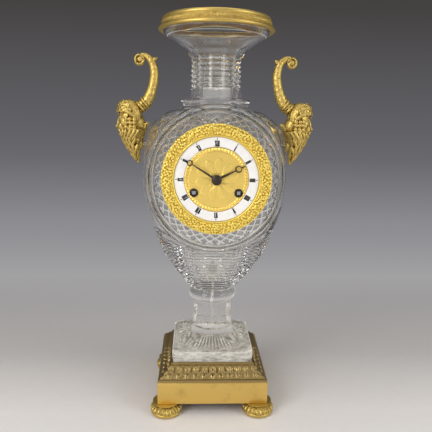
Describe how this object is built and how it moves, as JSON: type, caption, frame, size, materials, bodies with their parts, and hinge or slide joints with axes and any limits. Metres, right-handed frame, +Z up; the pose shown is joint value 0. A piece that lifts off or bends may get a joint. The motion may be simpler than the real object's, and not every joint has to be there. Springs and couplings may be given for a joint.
{
  "type": "amphora clock",
  "caption": "Mantel clock in a cut glass amphora vase on a footed gilt plinth, with mask handles, a round dial and a striking movement.",
  "frame": {"origin": "centre of the footprint, on the table under the feet", "axes": "+Z up, the dial faces -Y, +X to the viewer's right"},
  "size_m": [0.2088, 0.1346, 0.4165],
  "materials": {
    "gilt": "matte gilding with burnished lights",
    "gilt_satin": "satin gilding",
    "antique_gilt": "dulled antique gilding",
    "crystal": "clear cut crystal",
    "enamel": "gloss white enamel",
    "blued": "dark blued steel",
    "steel": "polished",
    "brass": "polished",
    "bell_metal": "turned"
  },
  "bodies": {
    "clock": {"feet": "gilt", "foot_studs": "steel", "plinth_block": "gilt_satin", "plinth_cornice": "antique_gilt", "tie_rod": "steel", "tie_nuts": "steel", "glass_foot": "crystal", "glass_knop": "crystal", "glass_body": "crystal", "glass_neck": "crystal", "rim_mount": "gilt", "handle_left": "gilt", "handle_right": "gilt", "handle_studs": "steel", "handle_nuts": "brass", "case_sleeve": "brass", "front_bezel": "gilt", "rear_bezel": "gilt_satin", "bezel_screws": "steel", "hinge_pin": "brass", "dial_plate": "brass", "chapter_ring": "enamel", "dial_centre": "gilt", "winding_collets": "blued", "front_plate": "brass", "back_plate": "brass", "pillars": "brass", "pillar_screws": "blued", "click_springs": "steel", "suspension_cock": "brass", "bell_stand": "brass", "bell": "bell_metal"},
    "going_barrel_body": {"going_barrel": "brass", "going_spring": "steel"},
    "going_winder": {"going_arbor": "steel"},
    "strike_barrel_body": {"strike_barrel": "brass", "strike_spring": "steel"},
    "strike_winder": {"strike_arbor": "steel"},
    "going_pawl": {"going_click": "steel"},
    "strike_pawl": {"strike_click": "steel"},
    "intermediate": {"intermediate_wheel": "brass"},
    "minute": {"centre_wheel": "brass", "cannon_pinion": "steel", "minute_hand": "blued", "hand_collet": "blued"},
    "motion_wheel": {"minute_wheel": "brass"},
    "hour": {"hour_wheel": "brass", "hour_hand": "blued"},
    "third": {"third_wheel": "brass"},
    "escape": {"escape_wheel": "brass"},
    "anchor": {"pallets": "steel"},
    "pendulum_body": {"pendulum": "brass"},
    "second": {"second_wheel": "brass"},
    "pin": {"pin_wheel": "brass"},
    "locking": {"locking_wheel": "brass"},
    "fly_body": {"fly": "brass"},
    "hammer_body": {"hammer": "steel"},
    "lever": {"count_lever": "steel"},
    "door": {"rear_door": "gilt_satin", "door_knob": "gilt"}
  },
  "joints": [
    {"name": "minute_hand_turn", "type": "hinge", "parent": "clock", "child": "minute", "pos_m": [0, -0.031, 0.256], "axis": [0, 1, 0], "continuous": true},
    {"name": "hour_hand_turn", "type": "hinge", "parent": "clock", "child": "hour", "pos_m": [0, -0.054, 0.256], "axis": [0, 1, 0], "continuous": true},
    {"name": "motion_wheel_turn", "type": "hinge", "parent": "clock", "child": "motion_wheel", "pos_m": [0, -0.049, 0.2672], "axis": [0, 1, 0], "continuous": true},
    {"name": "intermediate_turn", "type": "hinge", "parent": "clock", "child": "intermediate", "pos_m": [0.00312, -0.031, 0.23718], "axis": [0, 1, 0], "continuous": true},
    {"name": "going_barrel_turn", "type": "hinge", "parent": "clock", "child": "going_barrel_body", "pos_m": [0.0222, -0.031, 0.2429], "axis": [0, 1, 0], "continuous": true},
    {"name": "third_turn", "type": "hinge", "parent": "clock", "child": "third", "pos_m": [0.0127, -0.031, 0.26975], "axis": [0, 1, 0], "continuous": true},
    {"name": "escape_turn", "type": "hinge", "parent": "clock", "child": "escape", "pos_m": [0, -0.031, 0.28], "axis": [0, 1, 0], "continuous": true},
    {"name": "going_winding", "type": "hinge", "parent": "clock", "child": "going_winder", "pos_m": [0.0222, -0.031, 0.2429], "axis": [0, 1, 0], "continuous": true},
    {"name": "strike_winding", "type": "hinge", "parent": "clock", "child": "strike_winder", "pos_m": [-0.0222, -0.031, 0.2429], "axis": [0, 1, 0], "continuous": true},
    {"name": "going_click_lift", "type": "hinge", "parent": "clock", "child": "going_pawl", "pos_m": [0.0306, -0.048, 0.2375], "axis": [0, 1, 0], "range_deg": [0, 8]},
    {"name": "strike_click_lift", "type": "hinge", "parent": "clock", "child": "strike_pawl", "pos_m": [-0.0306, -0.048, 0.2375], "axis": [0, -1, 0], "range_deg": [0, 8]},
    {"name": "pin_wheel_turn", "type": "hinge", "parent": "clock", "child": "pin", "pos_m": [-0.01539, -0.031, 0.2751], "axis": [0, 1, 0], "continuous": true},
    {"name": "strike_barrel_turn", "type": "hinge", "parent": "clock", "child": "strike_barrel_body", "pos_m": [-0.0222, -0.031, 0.2429], "axis": [0, 1, 0], "continuous": true},
    {"name": "second_turn", "type": "hinge", "parent": "clock", "child": "second", "pos_m": [-0.02289, -0.031, 0.26281], "axis": [0, 1, 0], "continuous": true},
    {"name": "locking_turn", "type": "hinge", "parent": "clock", "child": "locking", "pos_m": [-0.00945, -0.031, 0.28539], "axis": [0, 1, 0], "continuous": true},
    {"name": "fly_turn", "type": "hinge", "parent": "clock", "child": "fly_body", "pos_m": [-0.01814, -0.031, 0.28692], "axis": [0, 1, 0], "continuous": true},
    {"name": "pendulum_swing", "type": "hinge", "parent": "clock", "child": "pendulum_body", "pos_m": [0, -0.0098, 0.293], "axis": [0, 1, 0], "range_deg": [-2.5, 2.5]},
    {"name": "anchor_rock", "type": "hinge", "parent": "clock", "child": "anchor", "pos_m": [0, -0.031, 0.2912], "axis": [0, 1, 0], "range_deg": [-2.8, 2.8]},
    {"name": "hammer_swing", "type": "hinge", "parent": "clock", "child": "hammer_body", "pos_m": [-0.031, -0.031, 0.277], "axis": [0, 1, 0], "range_deg": [-1, 4]},
    {"name": "lever_lift", "type": "hinge", "parent": "clock", "child": "lever", "pos_m": [-0.0363, -0.031, 0.2685], "axis": [0, -1, 0], "range_deg": [0, 4]},
    {"name": "door_swing", "type": "hinge", "parent": "clock", "child": "door", "pos_m": [0.0462, 0.0576, 0.256], "axis": [0, 0, -1], "range_deg": [0, 110]}
  ],
  "couplings": [
    {"joint": "motion_wheel_turn", "follows": "minute_hand_turn", "ratio": -0.33333},
    {"joint": "hour_hand_turn", "follows": "minute_hand_turn", "ratio": 0.083333},
    {"joint": "intermediate_turn", "follows": "minute_hand_turn", "ratio": -0.16667},
    {"joint": "going_barrel_turn", "follows": "minute_hand_turn", "ratio": 0.02381},
    {"joint": "third_turn", "follows": "minute_hand_turn", "ratio": -12},
    {"joint": "escape_turn", "follows": "minute_hand_turn", "ratio": 180},
    {"joint": "second_turn", "follows": "pin_wheel_turn", "ratio": -0.11111},
    {"joint": "strike_barrel_turn", "follows": "pin_wheel_turn", "ratio": 0.015873},
    {"joint": "locking_turn", "follows": "pin_wheel_turn", "ratio": -10},
    {"joint": "fly_turn", "follows": "pin_wheel_turn", "ratio": 80},
    {"joint": "anchor_rock", "follows": "pendulum_swing", "ratio": 1.11}
  ]
}
